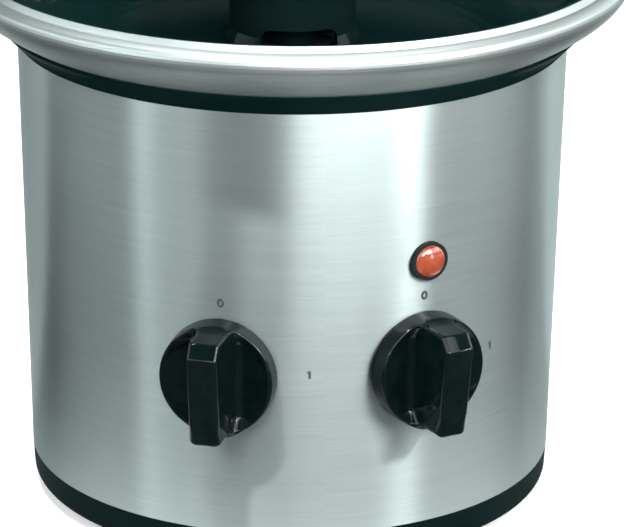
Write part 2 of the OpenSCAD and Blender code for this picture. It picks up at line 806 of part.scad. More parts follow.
// A wire is one closed tube swept through its points
wire_r = 1.1;
wire_sides = 8;
wire_ref = [0.31, 0.17, 0.93];
function unit(v) = v / norm(v);
function heading(p, i) =
  unit((i > 0 ? unit(p[i] - p[i - 1]) : [0, 0, 0]) + (i < len(p) - 1 ? unit(p[i + 1] - p[i]) : [0, 0, 0]));
module wire(p) {
  n = wire_sides;
  last = len(p) - 1;
  points = [
    for (i = [0 : last]) let (d = heading(p, i), u = unit(cross(d, wire_ref)), v = cross(d, u))
      for (k = [0 : n - 1]) p[i] + wire_r * (cos(k * 360 / n) * u + sin(k * 360 / n) * v)
  ];
  sides = [
    for (i = [0 : last - 1]) for (k = [0 : n - 1])
      let (a = i * n + k, b = i * n + (k + 1) % n) each [[a, b, b + n], [a, b + n, a + n]]
  ];
  polyhedron(points, concat(sides, [[for (k = [n - 1 : -1 : 0]) k]], [[for (k = [0 : n - 1]) last * n + k]]));
}
// Wires leave the terminal block through its front holes, 12 apart
function block_hole(i) = block_at + [6 + i * 12, 0, 5];
function tab_end(side, x) =
  let (a = side * knob_angle, r = switch_wall_r() - switch_face() - switch_l - 7.3)
    [r * sin(a) + x * cos(a), -r * cos(a) + x * sin(a), knob_z];
module wiring() {
  bay_y = block_at.y - 14;
  bay_z = block_at.z + 11;
  motor_tab = tab_end(-1, -7);
  heat_tab = tab_end(1, 0);
  color("#c9b48a") {
    wire([block_hole(1), block_hole(1) - [0, 10, 0], [motor_tab.x, bay_y, bay_z],
      motor_tab + [0, 8, -12], motor_tab]);
    wire([block_hole(2), block_hole(2) - [0, 8, 0], [heat_tab.x, bay_y - 14, bay_z],
      heat_tab + [-2, 10, -12], heat_tab]);
  }
}

module cord_gland() {
  neck_in = gland_neck;
  color("#14181a") on_wall(180, gland_z, housing_r(gland_z) + stand_off(gland_flange_r)) difference() {
    union() {
      cylinder(r = gland_flange_r, h = gland_flange_t);
      translate([0, 0, -neck_in]) cylinder(r = gland_r, h = neck_in);
      translate([0, 0, -neck_in]) cylinder(r = gland_r + 1.5, h = neck_in - 3);
    }
    translate([0, 0, -neck_in - cut]) cylinder(r = gland_bore_r, h = neck_in + gland_flange_t + 2 * cut);
  }
}

module locating_pins() {
  color("silver") at_angles(foot_angles, pin_ring_r, pan_z)
    cylinder(d = pin_d, h = pin_h);
}

// Gears
module gear(teeth, w) {
  r = gear_m * teeth / 2;
  tip = r + addendum;
  root = r - dedendum;
  half = 90 / teeth - tooth_gap / r * 180 / PI;
  slope = 20;
  tip_half = half - addendum * tan(slope) / r * 180 / PI;
  root_half = half + dedendum * tan(slope) / r * 180 / PI;
  linear_extrude(height = w) polygon([
    for (i = [0 : teeth - 1]) let (a = i * 360 / teeth) each [
      root * [cos(a - root_half), sin(a - root_half)], tip * [cos(a - tip_half), sin(a - tip_half)],
      tip * [cos(a + tip_half), sin(a + tip_half)], root * [cos(a + root_half), sin(a + root_half)]
    ]
  ]);
}

module rotor_shaft() {
  color("silver") translate([0, motor_y, motor_z0 + 0.5])
    cylinder(d = rotor_d, h = idler_z + gear_w + 1 - motor_z0 - 0.5);
}
module rotor_core() {
  color("#6f7478") translate([0, motor_y, motor_z0 + 7])
    tube(rotor_core_r, rotor_d / 2 + press_gap, motor_h - 14);
}
module rotor_pinion() {
  color("#e6dcc0") translate([0, motor_y, idler_z])
    rotate([0, 0, rotor_dir + 180 + 180 / pinion_teeth]) difference() {
      gear(pinion_teeth, gear_w);
      translate([0, 0, -cut]) cylinder(r = rotor_d / 2 + press_gap, h = gear_w + 2 * cut);
    }
}
module idler_gear() {
  color("#e6dcc0") translate([idler_at.x, idler_at.y, idler_z]) difference() {
    union() {
      rotate([0, 0, rotor_dir]) gear(wheel_teeth, gear_w);
      translate([0, 0, gear_w]) rotate([0, 0, idler_dir + 180 + 180 / pinion_teeth])
        gear(pinion_teeth, gear_w + stack_gap);
    }
    translate([0, 0, -cut]) cylinder(d = idler_pin_d + 2 * run_gap, h = 2 * gear_w + stack_gap + 2 * cut);
  }
}
module drive_gear() {
  color("#e6dcc0") translate([0, 0, drive_gear_z]) difference() {
    union() {
      rotate([0, 0, idler_dir]) gear(wheel_teeth, gear_w);
      cylinder(r = shaft_r + 4, h = gear_w + stack_gap);
    }
    translate([0, 0, -cut]) cylinder(r = shaft_r + press_gap, h = gear_w + stack_gap + 2 * cut);
  }
}
module drive_shaft() {
  color("silver") translate([0, 0, bottom_plate_z - 4]) cylinder(r = shaft_r, h = dog_z0 + 4 - bottom_plate_z);
}
module drive_dog() {
  color("#2a2e30") translate([0, 0, dog_z0]) hex(dog_af, dog_h);
}

module auger() {
  core_r = auger_core_d / 2;
  socket_af = dog_af + 2 * slip_gap;
  flight_h = tower_z1 - 2 - flight_z0;
  turns = flight_h / auger_pitch;
  sector = 360 * flight_t / auger_pitch;
  in_r = core_r - 0.6;
  core_h = auger_z1 - auger_tip - auger_z0;
  color("#101416") difference() {
    union() {
      translate([0, 0, auger_z0]) cylinder(r = core_r, h = core_h);
      translate([0, 0, auger_z1 - auger_tip]) rotate_extrude() polygon(concat(
        [[0, 0]], [for (a = [0 : 10 : 90]) [core_r * cos(a), auger_tip * sin(a)]]
      ));
      translate([0, 0, flight_z0])
        linear_extrude(height = flight_h, twist = -360 * turns, slices = round(turns * 20), $fn = 6) polygon(concat(
          arc([0, 0], flight_r, 0, sector, 3), flip(arc([0, 0], in_r, 0, sector, 1))
        ));
    }
    translate([0, 0, auger_z0 - cut]) cylinder(r = hub_r + bell_gap, h = dog_z0 - auger_z0 + cut);
    translate([0, 0, dog_z0 - cut]) hex(socket_af, dog_h + cut);
  }
}

module tower_tube() {
  hole = pin_d + 2 * slip_gap;
  color("#0d1416") difference() {
    rotate_extrude() polygon([
      [bore_r, pan_z], [tower_r + toe_w, pan_z], [tower_r + toe_w, pan_z + toe_h / 2],
      [tower_r, pan_z + toe_h],
      [tower_r, large_z], [mid_r, large_z], [mid_r, middle_z], [upper_r, middle_z],
      [upper_r, tower_z1], [bore_r, tower_z1]
    ]);
    for (i = [0 : arches - 1]) rotate([0, 0, -90 + i * 360 / arches]) arch_cut();
    at_angles(foot_angles, pin_ring_r, pan_z - cut)
      cylinder(d = hole, h = pin_h + 1 + cut);
  }
}
// A wedge-shaped opening through the wall, with rounded upper corners
module arch_cut() {
  far = tower_r + toe_w + 4;
  half_w = tower_r * sin(arch_angle / 2);
  corner = 4;
  translate([0, 0, pan_z]) rotate([90, 0, 90]) linear_extrude(height = far) polygon(concat(
    [[half_w, -cut]], arc([half_w - corner, arch_h - corner], corner, 0, 90, 6),
    arc([corner - half_w, arch_h - corner], corner, 90, 180, 6), [[-half_w, -cut]]
  ));
}

module tier(seat_z, bore, rim_r, drop) {
  hub_out = bore + tier_hub_t;
  z1 = seat_z + tier_hub_h;
  dome = [[hub_out, z1 - 1], [hub_out + 8, z1 - 2], [rim_r - 4, seat_z - drop + 14], [rim_r, seat_z - drop]];
  rotate_extrude() polygon(concat(
    [[bore, seat_z], [bore, z1], [hub_out - 1, z1]],
    curve(dome), flip(curve(dome, -tier_t)), [[hub_out - tier_t, seat_z]]
  ));
}
module large_tier() { color("#0d1416") tier(large_z, mid_r + seat_gap, large_tier_d / 2, large_drop); }
module middle_tier() { color("#0d1416") tier(middle_z, upper_r + seat_gap, middle_tier_d / 2, middle_drop); }

module crown() {
  sleeve_r = upper_r + slip_gap;
  cup_r = crown_d / 2;
  cup_z = tower_z1 + crown_t;
  color("#0d1416") rotate_extrude() polygon([
    [bore_r, tower_z1], [bore_r, cup_z], [sleeve_r + crown_t, cup_z],
    [cup_r - crown_t, tower_z1 + crown_h], [cup_r, tower_z1 + crown_h],
    [sleeve_r + crown_t + 2.4, tower_z1], [sleeve_r + crown_t, tower_z1 - sleeve_h],
    [sleeve_r, tower_z1 - sleeve_h], [sleeve_r, tower_z1]
  ]);
}

housing_shell();
base_cover();
rubber_feet();
base_screws();
top_collar();
bowl_seal();
bowl_rim();
bowl_pan();
bowl_studs();
bowl_straps();
strap_screws();
heat_plate();
heater_element();
thermostat();
thermal_fuse();
drive_hub();
hub_nut();
shaft_seal();
hub_bush();
standoffs();
plate_screws();
gear_plate_top();
gear_plate_bottom();
plate_pillars();
idler_pin();
plate_bush();
motor_can();
motor_end_cap();
field_coil();
motor_bearings();
motor_screws();
motor_switch();
heat_switch();
switch_nuts();
lamp_bezel();
lamp_lens();
lamp_holder();
terminal_block();
wiring();
cord_gland();
locating_pins();
motor_knob();
motor_switch_shaft();
heat_knob();
heat_switch_shaft();
rotor_shaft();
rotor_core();
rotor_pinion();
idler_gear();
drive_shaft();
drive_gear();
drive_dog();
auger();
tower_tube();
large_tier();
middle_tier();
crown();
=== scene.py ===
"""Looks of the chocolate fountain: materials, two moulded knobs, printed numbers, camera and studio."""

import math

import bpy
import numpy as np
from mathutils import Matrix, Vector


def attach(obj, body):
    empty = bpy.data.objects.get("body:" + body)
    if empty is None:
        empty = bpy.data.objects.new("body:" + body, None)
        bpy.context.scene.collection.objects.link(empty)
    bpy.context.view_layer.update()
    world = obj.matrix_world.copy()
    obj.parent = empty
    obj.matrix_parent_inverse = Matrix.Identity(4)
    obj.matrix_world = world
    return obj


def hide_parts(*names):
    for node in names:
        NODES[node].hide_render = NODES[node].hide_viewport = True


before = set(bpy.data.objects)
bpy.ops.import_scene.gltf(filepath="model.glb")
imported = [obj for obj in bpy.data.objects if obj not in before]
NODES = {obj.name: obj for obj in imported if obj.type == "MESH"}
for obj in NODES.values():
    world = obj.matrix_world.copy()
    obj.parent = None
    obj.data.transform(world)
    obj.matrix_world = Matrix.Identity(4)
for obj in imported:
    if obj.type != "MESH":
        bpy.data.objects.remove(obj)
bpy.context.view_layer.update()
MM = 0.001

# The housing's wall is a cone: height and radius at its foot and at its top, in mm
WALL_FOOT = (15.0, 96.6)
WALL_TOP = (172.0, 100.0)

# Photograph's view: its width and focal length in px, where the camera stands round, away from and above
# the middle of the foot, in m, and how far it looks down, looks aside and leans, in radians
PHOTO_W = 626
FOCAL_PX = 3929.9
SENSOR_MM = 36.0
CAM_AZIMUTH = math.radians(-7.0)
CAM_DISTANCE = 1.3739
CAM_HEIGHT = 0.5790
CAM_PITCH = math.radians(19.883)
CAM_YAW = math.radians(0.3217)
CAM_ROLL = 0.00647
CAM_REACH = 20.0

# Knobs, in mm. Heights are measured out of the wall, from the plane of the knob's back. A ROUND,
# BLEND, EDGE or FILLET says how softly two faces meet
KNOB_AZIMUTH = math.radians(21.3)
KNOB_Z = 75.5
KNOB_LIFT = 1.0
KNOB_R = 20.7
SKIRT_H = 6.8
SKIRT_DRAFT = 0.04
SKIRT_ROUND = 0.7
WALL_ROUND = 0.3
LIP_Z = 6.9
LIP_R = 19.6
LIP_SLOPE = 0.85
LIP_BLEND = 1.0
DISH_Z = 3.2
DISH_SCALE = 0.72
SCOOP_W = 13.4
SCOOP_BEND = 1.2
# The grip bar seen from its side: place along the bar and height
BAR_SIDE = [(-18.2, -3.0), (18.1, -3.0), (18.1, 20.8), (13.9, 24.1), (-18.2, 19.8)]
BAR_TIP = 25.4
BAR_ROUND = 1.2
BAR_HALF_FRONT = 5.35
BAR_HALF_FOOT = 6.0
BAR_EDGE = 1.5
BAR_INSET = 0.3
BAR_END_ROUND = 0.8
BAR_FILLET = 4.5
TOE_START = 11.0
TOE_RUN = 8.4
TOE_FLARE = 0.9
TOE_ROUND = 3.0
FRONT_HOLLOW = 0.25
HOLLOW_HALF = 4.2
RECESS_R = 8.7
RECESS_H = 2.6
BORE_R = 3.05
BORE_H = 15.0
# The knob's mesh: the net's cell in mm, the steps in mm over which slopes are taken for the net and for
# the shading, and how often and how far its vertices are moved towards the surface
CELL = 0.35
NET_STEP = 0.05
SHADE_STEP = 0.08
SNAP_ROUNDS = 3
SNAP_SHARE = 0.8

# Printed numbers, in mm
MARK_WIDTH = 0.85
MARK_THICK = 0.03
MARK_GAP = 0.02
MARK_Z = (102.0, 76.0)
MARK_TURN = math.radians(18.2)
ZERO_HALF = (0.85, 1.25)
ZERO_STEPS = 28
ONE_PATH = [(-0.65, 0.62), (-0.25, 0.95), (0.15, 1.45), (0.15, 0.5), (0.15, -0.5), (0.15, -1.45)]

# Patterns: the part of a noise's values that is used, how rough the noise is, and the radius in m at
# which marks round the Z axis are counted
NOISE_LOW = 0.3
NOISE_HIGH = 0.7
NOISE_ROUGH = 0.55
DRUM_R = 0.098

# How the steel darkens where it is seen edge on
EDGE_TINT = (0.40, 0.44, 0.44, 1.0)

# name: colour, roughness, size of the grain and its depth in mm, spread of shade, thin gloss
MOULDINGS = {
    "black_plastic": ((0.001, 0.0062, 0.0062), 0.40, 0.35, 0.02, 0.12, 0.05),
    "switch_plastic": ((0.70, 0.66, 0.57), 0.45, 0.3, 0.02, 0.05, 0.0),
    "dark_plastic": ((0.010, 0.014, 0.015), 0.35, 0.3, 0.02, 0.12, 0.2),
    "motor_paint": ((0.16, 0.17, 0.18), 0.4, 0.6, 0.04, 0.12, 0.0),
    "gear_nylon": ((0.80, 0.76, 0.64), 0.42, 0.5, 0.02, 0.04, 0.0),
    "tower_plastic": ((0.002, 0.0058, 0.0058), 0.30, 0.6, 0.01, 0.12, 0.12),
}

# name: colour, roughness, tool marks per m along X, Y and Z
METALS = {
    "zinc_steel": ((0.55, 0.56, 0.57), 0.36, (400.0, 400.0, 400.0)),
    "cast_aluminium": ((0.62, 0.62, 0.63), 0.5, (900.0, 900.0, 900.0)),
    "element_sheath": ((0.28, 0.27, 0.27), 0.48, (400.0, 400.0, 400.0)),
    "brass": ((0.70, 0.52, 0.24), 0.3, (120.0, 120.0, 1500.0)),
    "copper": ((0.62, 0.27, 0.12), 0.32, (80.0, 80.0, 2600.0)),
}

# name: colour
RUBBERS = {
    "rubber": (0.02, 0.02, 0.021),
    "silicone": (0.03, 0.035, 0.036),
}

WHITE = (1.0, 1.0, 1.0)
COOL = (0.93, 0.98, 1.0)
# Upright soft lights: name, degrees to the right of the camera, distance from the object's axis, height
# of the lower and the upper edge and width, in m, radiance, colour
SOFTBOXES = [
    ("key_box", 25.0, 0.50, 0.26, 0.80, 0.46, 9.5, WHITE),
    ("front_fill", -20.0, 1.6, 0.75, 1.6, 1.3, 2.3, WHITE),
    ("side_fill", -95.0, 1.5, 0.5, 1.5, 1.2, 1.6, COOL),
    ("right_fill", 87.0, 1.5, 0.5, 1.5, 1.5, 3.0, WHITE),
    ("key_strip", 51.0, 1.3, 0.02, 1.2, 0.16, 2.5, WHITE),
    ("key_spot", 50.0, 1.25, 0.76, 0.84, 0.05, 320.0, WHITE),
    ("left_spot", -64.0, 1.3, 0.66, 0.72, 0.04, 285.0, COOL),
    ("left_box", -48.5, 1.5, 0.2, 1.5, 0.66, 1.5, COOL),
    ("back_left", -150.0, 1.8, 0.2, 1.5, 0.9, 0.12, WHITE),
    ("back_right", 138.0, 1.8, 0.2, 1.5, 1.3, 1.6, WHITE),
]
# Lights overhead: name, place in m, tilt and turn in degrees, size in m, radiance
OVERHEADS = [
    ("top_box", (0.0, 0.45, 1.5), -16.0, 0.0, (1.3, 0.9), 2.5),
    ("hair_spot", (-0.30, -0.55, 1.45), 22.0, -28.0, (0.06, 0.06), 360.0),
]
# Angle within which every one of these lights shines
BOX_SPREAD = math.radians(110)

# World: the pale sweep ends at the horizon and has faded into the room at this sine of the elevation
SWEEP_TOP = 0.10
SWEEP = (0.66, 0.69, 0.69, 1.0)
ROOM = (0.05, 0.065, 0.065, 1.0)

# White paper under the object: its half width in m, and the glow, which rises from and to which
# distance in m, and from and to which strength
FLOOR_HALF = 4.0
GLOW_RANGE = (0.5, 1.8, 0.36, 1.0)

# Dark card round the front of the object: its edges and its fade from white, in m, and its ends
CARD_NEAR = 0.115
CARD_FAR = 1.15
CARD_FADE = 0.08
CARD_LIFT = 0.001
CARD_LEFT = math.radians(-115.0)
CARD_RIGHT = math.radians(125.0)
CARD_STEPS = 24


def wall_radius(z):
    """Radius of the housing's outside at height z, in mm."""
    (z0, r0), (z1, r1) = WALL_FOOT, WALL_TOP
    return r0 + (r1 - r0) * (z - z0) / (z1 - z0)


# ---------------------------------------------------------------- node trees
class Graph:
    """A tree of shader nodes under construction, with short calls for the nodes in it."""

    def __init__(self, owner):
        owner.use_nodes = True
        self.nodes = owner.node_tree.nodes
        self.links = owner.node_tree.links

    def new(self, kind, **values):
        """Adds a node and sets its properties."""
        node = self.nodes.new(kind)
        for key, value in values.items():
            setattr(node, key, value)
        return node

    def put(self, socket, value):
        """Gives an input a link from another node, or a plain value."""
        if isinstance(value, bpy.types.NodeSocket):
            self.links.new(value, socket)
        else:
            socket.default_value = value

    def math(self, operation, a, b):
        node = self.new("ShaderNodeMath", operation=operation)
        self.put(node.inputs[0], a)
        self.put(node.inputs[1], b)
        return node.outputs[0]

    def mix(self, factor, first, second):
        """A blend of two colours."""
        node = self.new("ShaderNodeMix", data_type="RGBA")
        self.put(node.inputs["Factor"], factor)
        self.put(node.inputs["A"], first)
        self.put(node.inputs["B"], second)
        return node.outputs["Result"]

    def remap(self, value, span, smooth=False):
        """value from one range to another: span is from min, from max, to min, to max."""
        node = self.new("ShaderNodeMapRange", interpolation_type="SMOOTHSTEP" if smooth else "LINEAR")
        self.put(node.inputs["Value"], value)
        for key, bound in zip(("From Min", "From Max", "To Min", "To Max"), span):
            self.put(node.inputs[key], bound)
        return node.outputs[0]

    def ray(self, *kinds):
        """1 for a ray of one of these kinds, else 0."""
        path = self.new("ShaderNodeLightPath")
        seen = path.outputs[kinds[0]]
        for kind in kinds[1:]:
            seen = self.math("MAXIMUM", seen, path.outputs[kind])
        return seen


class Material(Graph):
    """A surface, with the patterns that its colour, roughness and relief are made of."""

    def __init__(self, name):
        self.mat = bpy.data.materials.new(name)
        super().__init__(self.mat)
        self.shader = self.nodes["Principled BSDF"]

    def set(self, **values):
        """Sets inputs of the shader by their names, with _ for a space."""
        for key, value in values.items():
            self.put(self.shader.inputs[key.replace("_", " ")], value)

    def place(self):
        """Position on the object at rest: the mesh's own coordinates."""
        return self.new("ShaderNodeTexCoord").outputs["Object"]

    def distance(self):
        """Distance from the middle of the object, in m."""
        node = self.new("ShaderNodeVectorMath", operation="LENGTH")
        self.put(node.inputs[0], self.place())
        return node.outputs["Value"]

    def stretched(self, per_m, turn=(0.0, 0.0, 0.0)):
        """Coordinates that count a number of marks per m along X, Y and Z, turned by three angles."""
        node = self.new("ShaderNodeMapping")
        self.put(node.inputs["Vector"], self.place())
        self.put(node.inputs["Scale"], per_m)
        self.put(node.inputs["Rotation"], turn)
        return node.outputs[0]

    def around_z(self, per_m_round, per_m_up):
        """Coordinates that run round the Z axis and up it, for brushing and turning marks."""
        split = self.new("ShaderNodeSeparateXYZ")
        self.put(split.inputs[0], self.place())
        angle = self.math("ARCTAN2", split.outputs["X"], split.outputs["Y"])
        join = self.new("ShaderNodeCombineXYZ")
        self.put(join.inputs["X"], self.math("MULTIPLY", angle, DRUM_R * per_m_round))
        self.put(join.inputs["Y"], self.math("MULTIPLY", split.outputs["Z"], per_m_up))
        return join.outputs[0]

    def noise(self, vector, detail):
        node = self.new("ShaderNodeTexNoise")
        self.put(node.inputs["Vector"], vector)
        self.put(node.inputs["Scale"], 1.0)
        self.put(node.inputs["Detail"], detail)
        self.put(node.inputs["Roughness"], NOISE_ROUGH)
        return node.outputs["Fac"]

    def mottle(self, per_m, detail):
        """Noise that is the same in every direction."""
        return self.noise(self.stretched((per_m, per_m, per_m)), detail)

    def cells(self, per_m):
        """Distance to the nearest of many scattered points."""
        node = self.new("ShaderNodeTexVoronoi")
        self.put(node.inputs["Vector"], self.stretched(per_m))
        self.put(node.inputs["Scale"], 1.0)
        return node.outputs["Distance"]

    def ramp(self, value, low, high):
        """A pattern's value to a range of numbers."""
        return self.remap(value, (NOISE_LOW, NOISE_HIGH, low, high))

    def tint(self, value, dark, light):
        """A pattern's value to a blend of two colours."""
        return self.mix(self.ramp(value, 0.0, 1.0), (*dark, 1.0), (*light, 1.0))

    def shade(self, value, colour, spread):
        """A pattern's value to a darker or lighter shade of one colour."""
        return self.tint(value, [c * (1 - spread) for c in colour], [c * (1 + spread) for c in colour])

    def bump(self, height, strength, depth_mm):
        """Relief: the normal of a surface that a pattern raises by up to a depth."""
        node = self.new("ShaderNodeBump")
        self.put(node.inputs["Strength"], strength)
        self.put(node.inputs["Distance"], depth_mm * MM)
        self.put(node.inputs["Height"], height)
        return node.outputs[0]

    def turned(self, anisotropic):
        """Stretches the highlight across marks that run round the Z axis."""
        tangent = self.new("ShaderNodeTangent", direction_type="RADIAL", axis="Z")
        self.set(Anisotropic=anisotropic, Anisotropic_Rotation=0.25, Tangent=tangent.outputs[0])


# ---------------------------------------------------------------- materials
def brushed_steel():
    """Stainless sheet brushed round the drum: fine level lines and a soft, tall highlight."""
    m = Material("brushed_steel")
    fine = m.noise(m.around_z(per_m_round=28.0, per_m_up=3600.0), detail=2.0)
    broad = m.noise(m.around_z(per_m_round=9.0, per_m_up=420.0), detail=2.0)
    handling = m.noise(m.stretched(per_m=(9.0, 9.0, 14.0)), detail=3.0)
    lines = m.math("ADD", m.math("MULTIPLY", fine, 0.65), m.math("MULTIPLY", broad, 0.35))
    m.set(Base_Color=m.shade(lines, (0.32, 0.375, 0.366), 0.08), Metallic=1.0, Specular_Tint=EDGE_TINT)
    m.set(Roughness=m.math("ADD", m.ramp(lines, 0.38, 0.44), m.ramp(handling, -0.02, 0.02)))
    m.set(Normal=m.bump(lines, strength=0.35, depth_mm=0.02))
    m.turned(0.95)
    return m.mat


def rim_steel():
    """Spun stainless rim, polished to a satin with faint turning marks."""
    m = Material("rim_steel")
    marks = m.noise(m.around_z(per_m_round=5.0, per_m_up=1500.0), detail=2.0)
    haze = m.mottle(per_m=30.0, detail=4.0)
    m.set(Base_Color=m.shade(marks, (0.31, 0.348, 0.343), 0.05), Metallic=1.0, Specular_Tint=EDGE_TINT)
    m.set(Roughness=m.math("ADD", m.ramp(marks, 0.45, 0.49), m.ramp(haze, -0.02, 0.03)))
    m.set(Normal=m.bump(marks, strength=0.15, depth_mm=0.01))
    m.turned(0.35)
    return m.mat


def moulding(name, colour, rough, grain_mm, depth_mm, spread, skin):
    """Moulded plastic: a faint spark-eroded grain and flow marks. skin gives a thin dark gloss."""
    m = Material(name)
    grain = m.mottle(per_m=1.0 / (grain_mm * MM), detail=3.0)
    flow = m.noise(m.stretched(per_m=(35.0, 35.0, 60.0)), detail=2.0)
    m.set(Base_Color=m.shade(flow, colour, spread), IOR=1.49)
    m.set(Roughness=m.math("ADD", m.ramp(grain, rough - 0.03, rough + 0.03), m.ramp(flow, -0.02, 0.02)))
    m.set(Normal=m.bump(grain, strength=0.4, depth_mm=depth_mm))
    if skin:
        m.set(Specular_IOR_Level=0.0, Coat_Weight=skin, Coat_Roughness=rough * rough)
    return m.mat


def knob_black():
    """Glossy black phenolic knob: hardly any grain, faint wipe marks in the gloss."""
    m = Material("knob_black")
    wave = m.mottle(per_m=180.0, detail=2.0)
    wipes = m.noise(m.stretched(per_m=(900.0, 60.0, 900.0), turn=(0.3, 0.5, 0.2)), detail=4.0)
    m.set(Base_Color=m.tint(wave, (0.001, 0.003, 0.003), (0.002, 0.006, 0.006)), IOR=1.5)
    m.set(Roughness=m.ramp(wipes, 0.10, 0.17), Normal=m.bump(wave, strength=0.25, depth_mm=0.05))
    m.set(Specular_IOR_Level=0.0, Coat_Weight=0.5, Coat_Roughness=0.07)
    return m.mat


def bowl_coating():
    """Dark enamel-like non-stick coat on the pan: glossy, with fine orange peel and specks."""
    m = Material("bowl_coating")
    peel = m.mottle(per_m=500.0, detail=2.0)
    specks = m.cells(per_m=(1100.0, 1100.0, 1100.0))
    m.set(Base_Color=m.tint(specks, (0.002, 0.0105, 0.0105), (0.0015, 0.007, 0.007)), IOR=1.5)
    m.set(Roughness=m.ramp(peel, 0.16, 0.24), Normal=m.bump(peel, strength=0.15, depth_mm=0.015))
    m.set(Specular_IOR_Level=0.0, Coat_Weight=0.25, Coat_Roughness=0.12)
    return m.mat


def rubber(name, colour):
    """Matt rubber with a dusty bloom."""
    m = Material(name)
    fine = m.mottle(per_m=1600.0, detail=4.0)
    bloom = m.mottle(per_m=60.0, detail=3.0)
    m.set(Base_Color=m.shade(bloom, colour, 0.25), Roughness=m.ramp(fine, 0.62, 0.80))
    m.set(Normal=m.bump(fine, strength=0.5, depth_mm=0.05), Sheen_Weight=0.15)
    return m.mat


def plain_metal(name, colour, rough, marks):
    """Plated, cast or turned metal of the inner parts, with tool marks and mottling."""
    m = Material(name)
    tool = m.noise(m.stretched(per_m=marks), detail=4.0)
    mottle = m.mottle(per_m=90.0, detail=3.0)
    m.set(Base_Color=m.shade(mottle, colour, 0.08), Metallic=1.0)
    m.set(Roughness=m.math("ADD", m.ramp(tool, rough - 0.05, rough + 0.08), m.ramp(mottle, -0.03, 0.03)))
    m.set(Normal=m.bump(tool, strength=0.3, depth_mm=0.03))
    return m.mat


def woven_sleeve():
    """Glass-fibre sleeving of the wires."""
    m = Material("wire_insulation")
    weave = m.cells(per_m=(1400.0, 1400.0, 900.0))
    m.set(Base_Color=m.tint(weave, (0.62, 0.56, 0.42), (0.78, 0.73, 0.60)), Roughness=0.7)
    m.set(Normal=m.bump(weave, strength=0.6, depth_mm=0.1), Sheen_Weight=0.2)
    return m.mat


def lamp_red():
    """Translucent orange-red lens: clear skin over a moulded prism pattern."""
    m = Material("lamp_red")
    prisms = m.cells(per_m=(700.0, 700.0, 700.0))
    cloud = m.mottle(per_m=260.0, detail=2.0)
    m.set(Base_Color=m.tint(cloud, (0.23, 0.036, 0.014), (0.30, 0.062, 0.025)), IOR=1.49)
    m.set(Roughness=m.ramp(prisms, 0.16, 0.24), Transmission_Weight=0.25)
    m.set(Subsurface_Weight=0.35, Subsurface_Scale=0.002)
    m.set(Coat_Weight=0.8, Coat_Roughness=0.03, Normal=m.bump(prisms, strength=0.12, depth_mm=0.05))
    return m.mat


def printed_ink():
    """Dark screen-printed ink, a little uneven."""
    m = Material("printed_ink")
    patch = m.mottle(per_m=2500.0, detail=3.0)
    m.set(Base_Color=m.tint(patch, (0.012, 0.022, 0.024), (0.03, 0.045, 0.047)))
    m.set(Roughness=m.ramp(patch, 0.4, 0.6))
    return m.mat


def make_materials():
    """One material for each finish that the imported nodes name."""
    made = {
        "brushed_steel": brushed_steel(),
        "rim_steel": rim_steel(),
        "bowl_coating": bowl_coating(),
        "knob_black": knob_black(),
        "lamp_red": lamp_red(),
        "wire_insulation": woven_sleeve(),
    }
    made.update({name: moulding(name, *values) for name, values in MOULDINGS.items()})
    made.update({name: plain_metal(name, *values) for name, values in METALS.items()})
    made.update({name: rubber(name, colour) for name, colour in RUBBERS.items()})
    return made


def dress(materials):
    """Gives every CAD node the finish of the slot that its packed material names."""
    for obj in NODES.values():
        name = obj.data.materials[0].name
        obj.data.materials[0] = materials[name]


# ---------------------------------------------------------------- knob form
def smooth_max(a, b, k):
    """The larger of two distances, with a fillet of about k where they meet."""
    h = np.clip(0.5 + 0.5 * (a - b) / k, 0.0, 1.0)
    return b + (a - b) * h + k * h * (1.0 - h)


def smooth_min(a, b, k):
    """The smaller of two distances, with a fillet of about k where they meet."""
    return -smooth_max(-a, -b, k)


def polygon_distance(x, y, points):
    """Signed distance to a closed polygon, negative inside."""
    best = np.full(x.shape, np.inf)
    inside = np.zeros(x.shape, bool)
    for (ax, ay), (bx, by) in zip(points, points[1:] + points[:1]):
        ex, ey = bx - ax, by - ay
        t = np.clip(((x - ax) * ex + (y - ay) * ey) / (ex * ex + ey * ey), 0.0, 1.0)
        best = np.minimum(best, (x - ax - ex * t) ** 2 + (y - ay - ey * t) ** 2)
        if ay != by:
            crosses = (ay > y) != (by > y)
            inside ^= crosses & (x < ax + (y - ay) * ex / (by - ay))
    return np.where(inside, -1.0, 1.0) * np.sqrt(best)


def dish_height(u, rho):
    """Height of the knob's face: a scoop either side of the bar inside a sloping lip."""
    beside = np.maximum(np.abs(u) - BAR_HALF_FOOT, 0.0)
    scoop = DISH_Z + (LIP_Z - DISH_Z) * (beside / SCOOP_W) ** SCOOP_BEND
    bevel = LIP_Z - (LIP_R - rho) * LIP_SLOPE
    return np.minimum(smooth_max(scoop, bevel, LIP_BLEND), SKIRT_H)


def bar_distance(u, v, w, rho):
    """The grip bar: its side profile, cut to a width that flares at the foot and the toe."""
    side = polygon_distance(v, w, BAR_SIDE) - BAR_ROUND
    rise = np.clip((w - DISH_Z) / (BAR_TIP - DISH_Z), 0.0, 1.0)
    toe = np.clip((-v - TOE_START) / TOE_RUN, 0.0, 1.0)
    half = BAR_HALF_FOOT + (BAR_HALF_FRONT - BAR_HALF_FOOT) * rise + TOE_FLARE * toe * toe
    hollow = FRONT_HOLLOW * np.clip(1.0 - (u / HOLLOW_HALF) ** 2, 0.0, 1.0)
    bar = smooth_max(side + hollow, np.abs(u) - half, BAR_EDGE + TOE_ROUND * toe)
    return smooth_max(bar, rho - (KNOB_R - BAR_INSET), BAR_END_ROUND)


